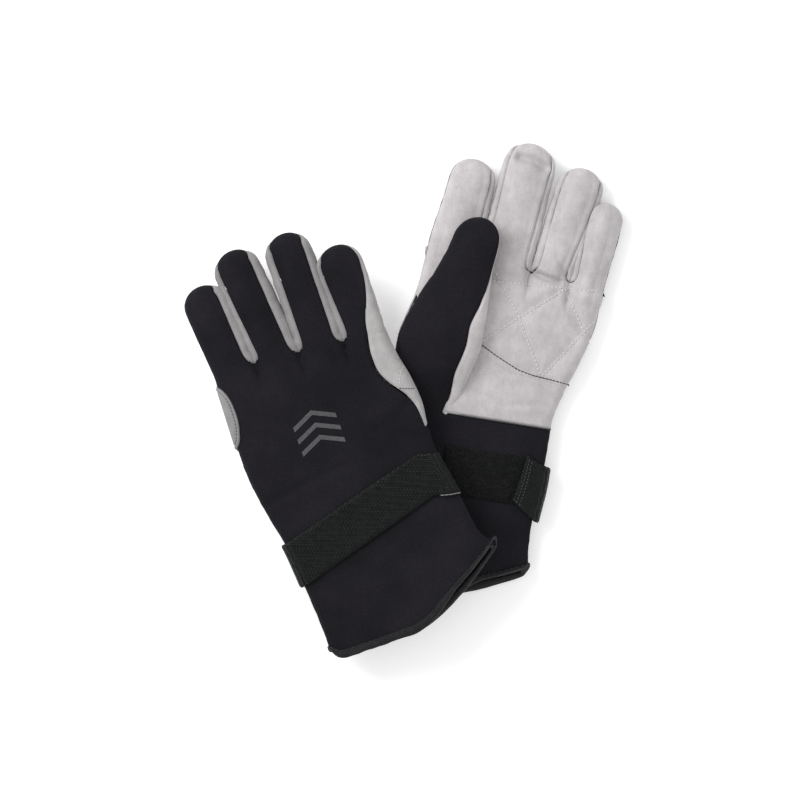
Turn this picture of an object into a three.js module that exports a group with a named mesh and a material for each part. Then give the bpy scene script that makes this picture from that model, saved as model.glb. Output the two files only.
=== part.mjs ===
// A pair of long-cuff sailing gloves lying flat, both for the left hand.
// The upper glove lies back up, its cuff across the lower glove, which lies palm up.
// Millimetres, +X right, +Y towards the fingertips, +Z up; the floor is z = 0.
//
// Every panel of a glove is a piece of a flattened tube. A place on a tube has two numbers:
//   around  0..1 over the back from the thumb side, 1..2 over the palm back to the thumb side
//   along   the distance from the hem (hand) or from the knuckle line (fingers)
import * as THREE from "three";

// ---- driving dimensions ----
const NEOPRENE = 3.0; // thickness of the back, cuff and thumb panels
const SUEDE = 2.0; // thickness of the palm and finger fronts
const PATCH = 1.5; // thickness of everything sewn on top
const PAD = 1.2; // thickness of the loop pad
const WEBBING = 2.0; // thickness of the strap
const CLIMB = 0.3; // share of the free end that climbs onto the hook pad
const GAP = 0.35; // clearance between two neighbouring pieces
const WRAP_GAP = 0.8; // clearance under a piece that goes round an edge
const SIDE = 0.14; // share of a tube's half turn that is rounded at each edge
const FINGER_HEIGHT = 14; // a finger lying flat, at its edges
const FINGER_CROWN = 2; // extra height along the middle of a finger
const BINDING_WIDTH = 4.5; // hem binding, seen from outside

const NEOPRENE_BLACK = { color: 0x1d1c20, roughness: 0.8 };
const SUEDE_LIGHT = { color: 0xbfb9ba, roughness: 0.95 };
const SUEDE_MID = { color: 0x7f7c7e, roughness: 0.95 };
const WEBBING_BLACK = { color: 0x25292b, roughness: 0.6 };
const PAD_BLACK = { color: 0x131316, roughness: 1.0 };
const BINDING_BLACK = { color: 0x2c2b2f, roughness: 0.85 };

// Glove outlines, from the hem up to the knuckle line.
// Rows: along, x of the left edge, x of the right edge, underside, top of the edges, crown.
const UPPER = {
  name: "upper",
  origin: [9.7, -133.3, 4],
  lean: 19.7,
  roll: 9,
  rollEdge: -81,
  backUp: true,
  outline: [
    [-16, -63.5, 64, 5.8, 19.8, 3],
    [10, -64, 59.5, 5.8, 19, 3],
    [35, -65.5, 56, 5.8, 18, 2],
    [65, -68, 52, 5.8, 17, 2],
    [88, -73, 46.5, 4, 16, 2],
    [109, -77, 43.5, 0, 14, 3],
    [128, -79, 46.5, 0, 14, 3],
    [150, -78.6, 46.3, 0, 14, 3],
    [168, -78, 43.3, 0, 14, 3],
    [184, -77.6, 41.6, 0, 14, 2],
  ],
  hem: { from: -6, rise: 36, span: 70, power: 1.5, fade: 52 },
  knuckle: { x: -20, y: 184, slope: -0.1 },
  palmSeam: 84,
  fingers: [
    { name: "little", base: -63, tip: [-66.5, 247], width: [29.2, 28.5], seams: [0, 1] },
    { name: "ring", base: -33, tip: [-38.9, 262], width: [30, 28.5], seams: [1, 1] },
    { name: "middle", base: -2.6, tip: [-3.8, 261], width: [30, 28.5], seams: [1, 1] },
    { name: "index", base: 27.2, tip: [26, 242], width: [28.8, 29.5], seams: [1, 0] },
  ],
  thumb: { base: [-3, 110], tip: [-31, 181], width: [30, 27], low: -10.5, high: -2.1, crown: 0 },
  strap: {
    low: (x) => Math.min(39 + 0.27 * (x + 62), 65 - 0.3 * (x - 38)),
    high: (x) => Math.min(68 + 0.25 * (x + 67), 95 - 0.4 * (x - 41)),
    tabEnd: 1.26,
    padFrom: 1.2,
    padTo: 1.62,
    padLow: 36,
    padHigh: 68,
  },
  wedge: [[109, 0.05], [125, 0.1], [142, 0.155], [158, 0.2], [184, 0.165]],
  patch: { low: 118, high: 178, from: 1.15, to: 1.62 },
  guard: { low: 139, high: 176, from: 0.86 },
};

const LOWER = {
  name: "lower",
  origin: [51.9, -122.1, 0],
  lean: -9,
  roll: 0,
  rollEdge: 0,
  backUp: false,
  outline: [
    [-10, -80, 27, 3, 15, 2],
    [22, -80, 25.5, 3, 14.6, 2],
    [45, -80, 25, 3, 14.4, 2],
    [70, -80, 27, 3, 14.2, 2],
    [98, -80, 27.5, 3, 14, 2],
    [118, -81.5, 28, 0, 14, 3],
    [134, -82.5, 32, 0, 14, 3],
    [155, -82, 38, 0, 14, 3],
    [180, -75, 44.5, 0, 14, 3],
    [211, -72, 48, 0, 14, 2],
  ],
  hem: { from: -28, rise: 22, span: 55, power: 1.3, fade: 50 },
  knuckle: { x: 0, y: 211, slope: -0.12 },
  palmSeam: 110,
  fingers: [
    { name: "index", base: -54.6, tip: [-48.5, 279], width: [32.5, 30], seams: [0, 1] },
    { name: "middle", base: -20.2, tip: [-12.5, 295], width: [34, 31], seams: [1, 1] },
    { name: "ring", base: 11.2, tip: [24, 284], width: [26, 27.5], seams: [1, 1] },
    { name: "little", base: 36.5, tip: [46.5, 264], width: [23, 23.5], seams: [1, 0] },
  ],
  thumb: { base: [-60.5, 151], tip: [-40.5, 241], width: [41, 31], low: 19.6, high: 30, crown: 2 },
  strap: {
    low: (x) => 48 + Math.min(0.78 * (27 - x), 14),
    high: (x) => 84 + Math.min(0.45 * (29 - x), 8),
    tabEnd: 1.22,
    padFrom: 1.16,
    padTo: 1.6,
    padLow: 58,
    padHigh: 89,
  },
  wedge: [[135, 0.05], [151, 0.13], [168, 0.24], [186, 0.27], [211, 0.22]],
  patch: { low: 142, high: 204, from: 1.15, to: 1.6 },
  guard: { low: 171, high: 204, from: 0.94 },
};

// ---- helpers ----
// Smooth curve through rows of a table, looked up by each row's first number.
function lookUp(table, at) {
  const last = table.length - 1;
  if (at <= table[0][0]) return table[0].slice(1);
  if (at >= table[last][0]) return table[last].slice(1);
  let i = 0;
  while (table[i + 1][0] < at) i++;
  const before = table[Math.max(i - 1, 0)];
  const after = table[Math.min(i + 2, last)];
  const [p, q] = [table[i], table[i + 1]];
  const step = q[0] - p[0];
  const k = (at - p[0]) / step;
  // No slope at a peak or beside a level stretch, so the curve never overshoots its rows.
  const slope = (a, b, c, n) =>
    (b[n] - a[n]) * (c[n] - b[n]) <= 0 ? 0 : ((c[n] - a[n]) / (c[0] - a[0])) * step;
  return p.slice(1).map((value, n) => {
    const slopeP = slope(before, p, q, n + 1);
    const slopeQ = slope(p, q, after, n + 1);
    const rise = q[n + 1] - value;
    return value + k * (slopeP + k * (3 * rise - 2 * slopeP - slopeQ + k * (slopeP + slopeQ - 2 * rise)));
  });
}

const mix = (a, b, k) => a + (b - a) * k;
const clamp = (v, low, high) => Math.min(Math.max(v, low), high);

// Cross-section of a tube lying flat: flat below, rounded edges, crowned on top.
// around 0..1 runs over the top from +x to -x, 1..2 back underneath.
function flatTube(around, half, low, high, crown) {
  const radius = Math.min((high - low) / 2, 0.8 * half);
  const middle = (high + low) / 2;
  const under = around >= 1;
  const k = under ? around - 1 : around;
  const sign = under ? -1 : 1;
  const flat = half - radius;
  if (k < SIDE || k > 1 - SIDE) {
    const turn = (k < SIDE ? k / SIDE : 2 - (1 - k) / SIDE) * (Math.PI / 2);
    const side = k < SIDE ? flat : -flat;
    return [sign * (side + radius * Math.cos(turn)), middle + sign * radius * Math.sin(turn)];
  }
  const across = 1 - (2 * (k - SIDE)) / (1 - 2 * SIDE);
  const rise = under ? 0 : crown * (1 - across * across);
  return [sign * flat * across, middle + sign * radius + rise];
}

// From a glove's own flat frame to the shared frame.
function place(glove, x, y, z) {
  const roll = THREE.MathUtils.degToRad(glove.roll);
  const lean = THREE.MathUtils.degToRad(glove.lean);
  const out = x - glove.rollEdge;
  const tiltedX = glove.rollEdge + out * Math.cos(roll) - z * Math.sin(roll);
  const tiltedZ = out * Math.sin(roll) + z * Math.cos(roll);
  return [
    glove.origin[0] + tiltedX * Math.cos(lean) - y * Math.sin(lean),
    glove.origin[1] + tiltedX * Math.sin(lean) + y * Math.cos(lean),
    glove.origin[2] + tiltedZ,
  ];
}

// The back of the upper glove is on top, the back of the lower one underneath.
const faceTurn = (glove, around) => (around + (glove.backUp ? 0 : 1) + 2) % 2;

// Point of the hand and cuff, `out` mm outside the fabric's outer face.
function handPoint(glove, around, along, out) {
  const [left, right, low, high, crown] = lookUp(glove.outline, along);
  const turn = faceTurn(glove, around);
  const half = (right - left) / 2 + out;
  const [sx, z] = flatTube(turn, half, low - out, high + out, crown);
  const x = (left + right) / 2 + sx;
  const hem = glove.hem;
  const hemFade = clamp((glove.outline[0][0] + hem.fade - along) / hem.fade, 0, 1) ** 2;
  const hemRise = hem.rise * Math.max((x - hem.from) / hem.span, 0) ** hem.power;
  const tilt = glove.knuckle.slope * (x - glove.knuckle.x);
  const tiltFade = clamp((along - glove.palmSeam - 30) / 50, 0, 1);
  return place(glove, x, along + hemRise * hemFade + tilt * tiltFade, z);
}

// Point of a finger or thumb; `along` runs 0..1 from its base to its tip.
function fingerPoint(glove, finger, around, along, out) {
  const [bx, by] = finger.base;
  const length = Math.hypot(finger.tip[0] - bx, finger.tip[1] - by);
  const dir = [(finger.tip[0] - bx) / length, (finger.tip[1] - by) / length];
  const round = finger.width[1] * 0.48;
  const reach = mix(finger.start, length + out, along);
  const nose = clamp((reach - (length - round)) / (round + out), 0, 1);
  const shrink = Math.max(Math.sqrt(1 - nose * nose), 0.08);
  const widthNow = mix(finger.width[0], finger.width[1], clamp(reach / (0.7 * length), 0, 1));
  const half = (widthNow / 2 + out) * shrink;
  const middle = (finger.low + finger.high) / 2;
  const rise = ((finger.high - finger.low) / 2 + out) * shrink ** 0.6;
  const turn = faceTurn(glove, around);
  const [sx, z] = flatTube(turn, half, middle - rise, middle + rise, finger.crown * shrink);
  const square = clamp(reach / (0.4 * length), 0, 1);
  const sideX = mix(finger.side[0], dir[1], square);
  const sideY = mix(finger.side[1], -dir[0], square);
  const sideLength = Math.hypot(sideX, sideY);
  return place(
    glove,
    bx + dir[0] * reach + (sx * sideX) / sideLength,
    by + dir[1] * reach + (sx * sideY) / sideLength,
    z,
  );
}

const group = new THREE.Group();

// One closed body between an outer and an inner sheet of points.
// outer(u, v) and inner(u, v) give points for u and v from 0 to 1.
function addSolid(name, look, outer, inner, across, along, loop = false) {
  const points = [];
  const faces = [];
  const evenly = (steps) => Array.from({ length: steps + 1 }, (_, n) => n / steps);
  const uSteps = Array.isArray(across) ? across : evenly(across);
  const vSteps = Array.isArray(along) ? along : evenly(along);
  const acrossSteps = uSteps.length - 1;
  const columns = loop ? acrossSteps : acrossSteps + 1;
  const rowCount = vSteps.length;
  for (const sheet of [outer, inner]) {
    for (const v of vSteps) {
      for (let i = 0; i < columns; i++) points.push(...sheet(uSteps[i], v));
    }
  }
  const at = (sheet, i, j) => sheet * columns * rowCount + j * columns + (i % columns);
  const quad = (a, b, c, d) => faces.push(a, b, c, a, c, d);
  for (let j = 0; j < rowCount - 1; j++) {
    for (let i = 0; i < acrossSteps; i++) {
      quad(at(0, i, j), at(0, i + 1, j), at(0, i + 1, j + 1), at(0, i, j + 1));
      quad(at(1, i, j + 1), at(1, i + 1, j + 1), at(1, i + 1, j), at(1, i, j));
    }
    if (loop) continue;
    quad(at(1, 0, j), at(0, 0, j), at(0, 0, j + 1), at(1, 0, j + 1));
    quad(at(0, acrossSteps, j), at(1, acrossSteps, j), at(1, acrossSteps, j + 1), at(0, acrossSteps, j + 1));
  }
  for (let i = 0; i < acrossSteps; i++) {
    const end = rowCount - 1;
    quad(at(1, i, 0), at(1, i + 1, 0), at(0, i + 1, 0), at(0, i, 0));
    quad(at(0, i, end), at(0, i + 1, end), at(1, i + 1, end), at(1, i, end));
  }
  if (signedVolume(points, faces) < 0) {
    for (let n = 0; n < faces.length; n += 3) [faces[n], faces[n + 1]] = [faces[n + 1], faces[n]];
  }
  const geometry = new THREE.BufferGeometry();
  geometry.setAttribute("position", new THREE.Float32BufferAttribute(points, 3));
  geometry.setIndex(faces);
  geometry.computeVertexNormals();
  const mesh = new THREE.Mesh(geometry, new THREE.MeshStandardMaterial({ ...look, metalness: 0 }));
  mesh.name = name;
  group.add(mesh);
}

function signedVolume(points, faces) {
  const corner = (n) => new THREE.Vector3().fromArray(points, 3 * faces[n]);
  let volume = 0;
  for (let n = 0; n < faces.length; n += 3) {
    volume += corner(n).dot(corner(n + 1).cross(corner(n + 2)));
  }
  return volume;
}

// All pieces of a hand share their cross-sections, so that neighbours' facets run side by side.
function stations(glove, from, to) {
  const tip = glove.wedge[0][0];
  const shared = [-8, 8, 24, 42, 60, 76, 84, 98].map((step) => step + glove.palmSeam - 84);
  shared.push(tip, tip + 1, ...glove.wedge.slice(1, -1).map((row) => row[0]), tip + 36, tip + 42, tip + 60);
  const between = shared.filter((y) => y > from + 1 && y < to - 1).sort((p, q) => p - q);
  return [from, ...between, to];
}

// A piece of the hand's tube. span(along) gives the two ends of `around`,
// face how far the piece's outer and inner face stand off the hand's surface.
function addHandPiece(glove, name, look, span, range, face, across) {
  const rows = stations(glove, range[0], range[1]);
  const sheet = (side) => (u, v) => {
    const y = mix(range[0], range[1], v);
    const [from, to] = span(y);
    return handPoint(glove, mix(from, to, u), y, face[side]);
  };
  const shares = rows.map((y) => (y - range[0]) / (range[1] - range[0]));
  addSolid(`${glove.name}_${name}`, look, sheet(0), sheet(1), across, shares);
}

// ---- one glove ----
const SEAM = 0.006; // a seam's share of the half turn, on each side
const KNUCKLE_GAP = 0.25;
const ROOT_EDGE = 1.64; // `around` of the seam between the palm and the thumb's root
const PALM_EDGE = 1.86; // `around` of the palm's edge beside the wedge
const WEDGE_EDGE = 1.9; // `around` of the wedge's edge beside the palm
const WALL = 0.62 * SIDE; // half of a finger's side wall, in `around`
const HALF_TURN = [0, 0.07, 0.14, 0.32, 0.5, 0.68, 0.86, 0.93, 1]; // close together where the edge is round
const FINGER_HALF = [0, 0.08, 0.16, 0.5, 0.84, 0.92, 1];
const FINGER_ROWS = [0, 0.3, 0.6, 0.74, 0.88, 0.95, 0.985, 1];

function addHand(glove) {
  const hemStart = glove.outline[0][0];
  const knuckle = glove.outline[glove.outline.length - 1][0] - KNUCKLE_GAP;
  const panelStart = hemStart + BINDING_WIDTH + GAP;
  const wedgeLow = glove.wedge[0][0];
  const wedgeEdge = (y) => (y < wedgeLow ? 0 : lookUp(glove.wedge, y)[0]);
  const neoprene = [0, -NEOPRENE];
  const suede = [0, -SUEDE];

  addHandPiece(glove, "back_panel", NEOPRENE_BLACK,
    (y) => [wedgeEdge(y) + 2 * SEAM, 1 - SEAM], [panelStart, knuckle], neoprene, HALF_TURN);

  // The palm stops short of the thumb's root and reaches the wedge above it.
  const rootTop = wedgeLow + 30;
  const palmEdge = (y) => mix(ROOT_EDGE, PALM_EDGE, clamp((y - rootTop) / 12, 0, 1));
  addHandPiece(glove, "palm_panel", SUEDE_LIGHT,
    (y) => [1 + SEAM, palmEdge(y)], [glove.palmSeam + GAP, knuckle], suede, 9);
  addHandPiece(glove, "thumb_root", NEOPRENE_BLACK,
    (y) => [palmEdge(y) + 3 * SEAM, y < wedgeLow + 0.5 ? 2 - SEAM : WEDGE_EDGE],
    [glove.palmSeam + GAP, rootTop + 6], neoprene, 4);
  addHandPiece(glove, "index_wedge", SUEDE_LIGHT,
    (y) => [WEDGE_EDGE + 3 * SEAM, 2 + wedgeEdge(y) - SEAM], [wedgeLow + 1, knuckle], suede, 5);

  addHandPiece(glove, "cuff_panel", NEOPRENE_BLACK,
    () => [1 + SEAM, 2 - SEAM], [panelStart, glove.palmSeam], neoprene, HALF_TURN);

  const bindingFace = (out) => (u, v) =>
    handPoint(glove, 2 * u, hemStart + mix(0, BINDING_WIDTH, v), out);
  const fullTurn = [...HALF_TURN.slice(0, -1), ...HALF_TURN.map((around) => 1 + around)].map(
    (around) => around / 2,
  );
  addSolid(`${glove.name}_hem_binding`, BINDING_BLACK,
    bindingFace(0.8), bindingFace(-NEOPRENE - 0.8), fullTurn, 1, true);

  const onTop = [0.5 + PATCH, 0.5];
  const roundEdge = [WRAP_GAP + PATCH, WRAP_GAP];
  addHandPiece(glove, "palm_patch", SUEDE_LIGHT,
    () => [glove.patch.from, glove.patch.to], [glove.patch.low, glove.patch.high], onTop, 5);

  // Edge guard: wraps from the palm round the little-finger edge, round-ended on the back.
  const guardMiddle = (glove.guard.low + glove.guard.high) / 2;
  const guardHalf = (glove.guard.high - glove.guard.low) / 2;
  const guard = (side) => (u, v) => {
    const around = mix(glove.guard.from, glove.patch.from - 0.012, u);
    const bow = Math.sqrt(1 - clamp((0.5 - u) / 0.5, 0, 0.92) ** 2);
    return handPoint(glove, around, guardMiddle + guardHalf * bow * (2 * v - 1), roundEdge[side]);
  };
  addSolid(`${glove.name}_edge_guard`, SUEDE_MID, guard(0), guard(1), 8, 2);
}

function addStrap(glove) {
  const { low, high, tabEnd, padFrom, padTo, padLow, padHigh } = glove.strap;
  const thumbEdge = 0.03; // the strap is sewn down at the thumb side
  const peel = 1.13; // where the free end starts
  const xAt = (around, y) => {
    const [left, right, bottom, top, crown] = lookUp(glove.outline, y);
    const half = (right - left) / 2;
    return (left + right) / 2 + flatTube(faceTurn(glove, around), half, bottom, top, crown)[0];
  };
  const band = (name, look, from, to, face, across, inset) => {
    const sheet = (side) => (u, v) => {
      const around = mix(from, to, u);
      const x = xAt(around, (low(0) + high(0)) / 2);
      const y = mix(low(x) + inset, high(x) - inset, v);
      return handPoint(glove, around, y, face(u)[side]);
    };
    addSolid(`${glove.name}_${name}`, look, sheet(0), sheet(1), across, 1);
  };
  const strapFace = () => [WRAP_GAP + WEBBING, WRAP_GAP];
  const strapSteps = [thumbEdge, ...HALF_TURN.slice(1), 1.07, peel].map(
    (around) => (around - thumbEdge) / (peel - thumbEdge),
  );
  band("strap", WEBBING_BLACK, thumbEdge, peel, strapFace, strapSteps, 0);

  // The free end climbs from the strap's level over the hook pad.
  const hookTop = 2 * GAP + 2 * PATCH;
  const tabFace = (u) => {
    const lift = mix(WRAP_GAP, hookTop + GAP, clamp(u / CLIMB, 0, 1));
    return [lift + WEBBING, lift];
  };
  band("strap_tab", WEBBING_BLACK, peel + 2 * SEAM, tabEnd, tabFace, 7, 0);
  const hookFrom = mix(peel, tabEnd, CLIMB + 0.12);
  const hookFace = () => [hookTop, hookTop - PATCH];
  band("hook_pad", PAD_BLACK, hookFrom, tabEnd - 0.01, hookFace, 3, 2);
  const pad = (side) => (u, v) =>
    handPoint(glove, mix(padFrom, padTo, u), mix(padLow, padHigh, v), [GAP + PAD, GAP][side]);
  addSolid(`${glove.name}_loop_pad`, PAD_BLACK, pad(0), pad(1), 4, 1);
}

function addFinger(glove, spec) {
  const { x, y, slope } = glove.knuckle;
  const along = Math.hypot(1, slope);
  const finger = {
    ...spec,
    base: [spec.base, y + slope * (spec.base - x)],
    start: KNUCKLE_GAP,
    low: 0,
    high: FINGER_HEIGHT,
    crown: FINGER_CROWN,
    side: [1 / along, slope / along],
  };
  // Side walls end in a point short of the fingertip.
  const wall = (v) => WALL * mix(1, 0.1, clamp((v - 0.6) / 0.28, 0, 1));
  // Where back and front meet on the thumb side (0) and on the little-finger side (1).
  const [first, second] = glove.backUp ? [spec.seams[1], spec.seams[0]] : spec.seams;
  const sheet = (span, out) => (u, v) => {
    const [from, to] = span(v);
    return fingerPoint(glove, finger, mix(from, to, u), v, out);
  };
  const piece = (name, look, span, thickness, across, rows) =>
    addSolid(`${glove.name}_${spec.name}_${name}`, look, sheet(span, 0), sheet(span, -thickness), across, rows);

  const backSpan = (v) => [first * wall(v) + SEAM, 1 - second * wall(v) - SEAM];
  const frontSpan = (v) => [1 + second * wall(v) + SEAM, 2 - first * wall(v) - SEAM];
  piece("back", NEOPRENE_BLACK, backSpan, NEOPRENE, FINGER_HALF, FINGER_ROWS);
  piece("front", SUEDE_LIGHT, frontSpan, SUEDE, FINGER_HALF, FINGER_ROWS);
  const wallRows = [0, 0.3, 0.6, 0.74, 0.88];
  if (first) {
    const span = (v) => [-wall(v) + SEAM, wall(v) - SEAM];
    piece("wall_thumbward", SUEDE_LIGHT, span, SUEDE, 2, wallRows);
  }
  if (second) {
    const span = (v) => [1 - wall(v) + SEAM, 1 + wall(v) - SEAM];
    piece("wall_outward", SUEDE_LIGHT, span, SUEDE, 2, wallRows);
  }
}

function addThumb(glove) {
  const [dx, dy] = [glove.thumb.tip[0] - glove.thumb.base[0], glove.thumb.tip[1] - glove.thumb.base[1]];
  const length = Math.hypot(dx, dy);
  const thumb = { ...glove.thumb, start: 0, side: [dy / length, -dx / length] };
  // The thumb is folded over the palm, so its back faces away from the palm.
  const sheet = (span, out) => (u, v) =>
    fingerPoint(glove, thumb, (mix(span[0], span[1], u) + 1) % 2, v, out);
  const back = [SEAM, 1 - SEAM];
  const front = [1 + SEAM, 2 - SEAM];
  const piece = (name, look, span, thickness) =>
    addSolid(`${glove.name}_${name}`, look, sheet(span, 0), sheet(span, -thickness), FINGER_HALF, FINGER_ROWS);
  piece("thumb_back", NEOPRENE_BLACK, back, NEOPRENE);
  piece("thumb_front", SUEDE_LIGHT, front, SUEDE);
}

for (const glove of [LOWER, UPPER]) {
  addHand(glove);
  addStrap(glove);
  for (const finger of glove.fingers) addFinger(glove, finger);
  addThumb(glove);
}

export default group;
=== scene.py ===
"""A pair of left-hand sailing gloves lying flat, the upper one back up across the lower one, palm up.

Shapes are worked out in millimetres in each glove's own flat frame (x across, y from the hem to the
fingertips, z up) and placed in the shared frame in metres when a mesh is made.
"""
import math

import bpy
import numpy as np
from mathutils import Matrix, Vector


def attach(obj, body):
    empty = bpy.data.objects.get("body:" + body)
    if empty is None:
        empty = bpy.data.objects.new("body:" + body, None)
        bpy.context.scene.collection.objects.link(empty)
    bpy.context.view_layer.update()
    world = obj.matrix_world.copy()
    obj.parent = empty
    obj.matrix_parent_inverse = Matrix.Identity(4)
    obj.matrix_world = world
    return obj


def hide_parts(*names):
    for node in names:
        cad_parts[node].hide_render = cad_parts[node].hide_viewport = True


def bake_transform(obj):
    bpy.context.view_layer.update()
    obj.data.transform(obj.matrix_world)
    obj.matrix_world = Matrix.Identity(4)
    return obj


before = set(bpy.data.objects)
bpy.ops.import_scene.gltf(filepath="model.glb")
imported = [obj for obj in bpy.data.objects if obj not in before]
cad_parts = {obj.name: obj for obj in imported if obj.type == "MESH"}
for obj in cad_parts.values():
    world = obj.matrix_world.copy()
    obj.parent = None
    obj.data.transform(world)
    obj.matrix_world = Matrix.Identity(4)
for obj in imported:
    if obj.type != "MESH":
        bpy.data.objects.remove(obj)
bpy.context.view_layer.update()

# ---------------------------------------------------------------- driving dimensions, mm
NEOPRENE = 3.0
SUEDE = 1.3
WEBBING = 2.0
SIDE = 0.14           # share of a tube's half turn that is rounded at each edge
FINGER_HEIGHT = 14.0
FINGER_CROWN = 2.0
GROOVE = 1.0          # how deep a panel's edge turns down into its seam
GROOVE_WIDTH = 1.8
WEB = 0.16            # height of the crotch between two fingers, as a share of half a finger's height
WEB_FADE = 9.0        # how far along a finger the crotch's raised web reaches
BINDING_WIDTH = 6.0
RIB_PITCH = 2.0       # one raised cord of the webbing
FINGER_NEOPRENE = 0.75 * NEOPRENE  # the thinner neoprene of fingers and thumbs
STRAP_GAP = 0.9       # between the strap and the fabric it goes round
HOOK_RISE = 2.6       # how far the free end climbs over its hook pad
THUMB_NOSE = 15.0     # length of a thumb's rounded end
THUMB_ROOT_EDGE = 1.64  # place around the hand of the seam between the palm and the thumb's root
RELIEF_FADE = 5.5     # height over which the fabric's hills fade out towards a tube's edge
WALL_REACH = 0.62     # how far under a finger its side wall reaches, as a share of SIDE


def ease(k):
    k = np.clip(k, 0.0, 1.0)
    return k * k * (3 - 2 * k)


def mix(a, b, k):
    return a + (b - a) * k


def unit(v):
    return v / np.maximum(np.linalg.norm(v, axis=-1, keepdims=True), 1e-9)


def curve(rows, at):
    """Smooth curve through rows [at, value, ...], with no overshoot at a peak or a level stretch."""
    rows = np.array(rows, float)
    at = np.clip(np.asarray(at, float), rows[0, 0], rows[-1, 0])
    x, y = rows[:, 0], rows[:, 1:]
    step = np.diff(x)[:, None]
    chord = np.diff(y, axis=0) / step
    slope = np.zeros_like(y)
    level = chord[:-1] * chord[1:] <= 0
    slope[1:-1] = np.where(level, 0, (y[2:] - y[:-2]) / (x[2:] - x[:-2])[:, None])
    slope[0], slope[-1] = chord[0], chord[-1]
    i = np.clip(np.searchsorted(x, at, side="right") - 1, 0, len(x) - 2)
    k = ((at - x[i]) / step[i, 0])[..., None]
    a, b = slope[i] * step[i], slope[i + 1] * step[i]
    rise = y[i + 1] - y[i]
    out = y[i] + k * (a + k * (3 * rise - 2 * a - b + k * (a + b - 2 * rise)))
    return [out[..., n] for n in range(out.shape[-1])]


def lattice(i, j, k):
    h = (i * 374761393 + j * 668265263 + k * 1442695041) & 0xFFFFFFFF
    h = ((h ^ (h >> 13)) * 1274126177) & 0xFFFFFFFF
    return ((h ^ (h >> 16)) & 0xFFFF) / 32768.0 - 1.0


def noise(p, size, seed=0):
    """Smooth noise from -1 to 1 at points p, with features about `size` mm across."""
    q = p / size + 17.31 * seed
    cell = np.floor(q).astype(np.int64)
    f = q - cell
    f = f * f * f * (f * (6 * f - 15) + 10)
    total = 0.0
    for di in (0, 1):
        for dj in (0, 1):
            for dk in (0, 1):
                weight = (
                    (f[..., 0] if di else 1 - f[..., 0])
                    * (f[..., 1] if dj else 1 - f[..., 1])
                    * (f[..., 2] if dk else 1 - f[..., 2])
                )
                corner = lattice(cell[..., 0] + di, cell[..., 1] + dj, cell[..., 2] + dk)
                total = total + weight * corner
    return total


# ---------------------------------------------------------------- the two gloves
# Outline rows: along, x of the left edge, x of the right edge, underside, top of the edges, crown.
UPPER = dict(
    name="upper",
    origin=(9.7, -133.3, 4.0),
    lean=19.7,
    roll=9.0,
    roll_edge=-81.0,
    back_up=True,
    outline=[
        [-16, -63.5, 65.5, 5.8, 18.8, 3],
        [10, -64, 60.8, 5.8, 18, 3],
        [35, -65.5, 56, 5.8, 17, 2],
        [65, -68, 52, 5.8, 16, 2],
        [88, -73, 48, 4, 15, 2],
        [109, -76.8, 47.5, 0, 14, 3],
        [128, -77.8, 49.2, 0, 14, 3],
        [150, -77.0, 47.6, 0, 14, 3],
        [168, -76.3, 44.3, 0, 14, 3],
        [184, -76.2, 42.8, 0, 14, 2],
    ],
    hem=(-6, 36, 70, 1.5, 52),
    knuckle=(-20, 184, -0.1),
    palm_seam=84,
    lip=(5.0, 3),
    corner=(11.0, 3.0),
    creases=[
        (3.0, 0.8, [(-70, 96), (-40, 101), (-12, 104)]),
        (4.0, 0.9, [(43, 128), (30, 122), (18, 118)]),
        (5.0, 0.8, [(-60, 36), (-20, 40), (20, 52)]),
    ],
    fingers=[
        dict(name="little", base=-61.5, tip=(-66.2, 247), width=(29.6, 29.5), walls=(0.6, 0.9)),
        dict(name="ring", base=-31.6, tip=(-38.2, 262), width=(30, 29.4), walls=(0.6, 0.8)),
        dict(name="middle", base=-1.4, tip=(-0.8, 261), width=(30.4, 29.2), walls=(0.95, 0.7)),
        dict(name="index", base=28.4, tip=(28.8, 242), width=(29, 30.5), walls=(0.55, 0.55)),
    ],
)
LOWER = dict(
    name="lower",
    origin=(51.9, -122.1, 0.0),
    lean=-9.0,
    roll=0.0,
    roll_edge=0.0,
    back_up=False,
    outline=[
        [-10, -80, 27, 3, 14, 2],
        [22, -80, 25.5, 3, 13.6, 2],
        [45, -80, 25, 3, 13.4, 2],
        [70, -80, 27, 3, 13.2, 2],
        [98, -80, 27.5, 3, 13.5, 2],
        [118, -81.5, 28, 0, 14, 3],
        [134, -82.5, 32, 0, 14, 3],
        [155, -82, 38, 0, 14, 3],
        [180, -75, 44.5, 0, 14, 3],
        [211, -72, 47.8, 0, 14, 2],
    ],
    hem=(-28, 22, 55, 1.3, 50),
    knuckle=(0, 211, -0.12),
    palm_seam=110,
    lip=(6.5, -28),
    corner=(9.0, 3.0),
    creases=[
        (2.2, 5.0, [(-2, 212.2), (3, 210), (10, 208.2), (17.0, 207.5)]),
        (1.6, 0.9, [(13, 224), (19, 217), (22, 212)]),
        (3.4, 5.0, [(-20.5, 284.6), (-12, 284), (-3, 280)]),
        (3.0, 0.8, [(-45, 212), (-34, 208)]),
        (2.5, 0.8, [(-30, 128), (-5, 121), (15, 124)]),
        (3.5, 0.9, [(28, 215), (38, 210), (46, 208)]),
    ],
    fingers=[
        dict(name="index", base=-55.2, tip=(-48.5, 279), width=(34, 30)),
        dict(name="middle", base=-20.2, tip=(-12.5, 295), width=(34, 33)),
        dict(name="ring", base=11.2, tip=(24, 284), width=(26, 29)),
        dict(name="little", base=36.3, tip=(41.8, 264), width=(23, 25)),
    ],
)


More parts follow.
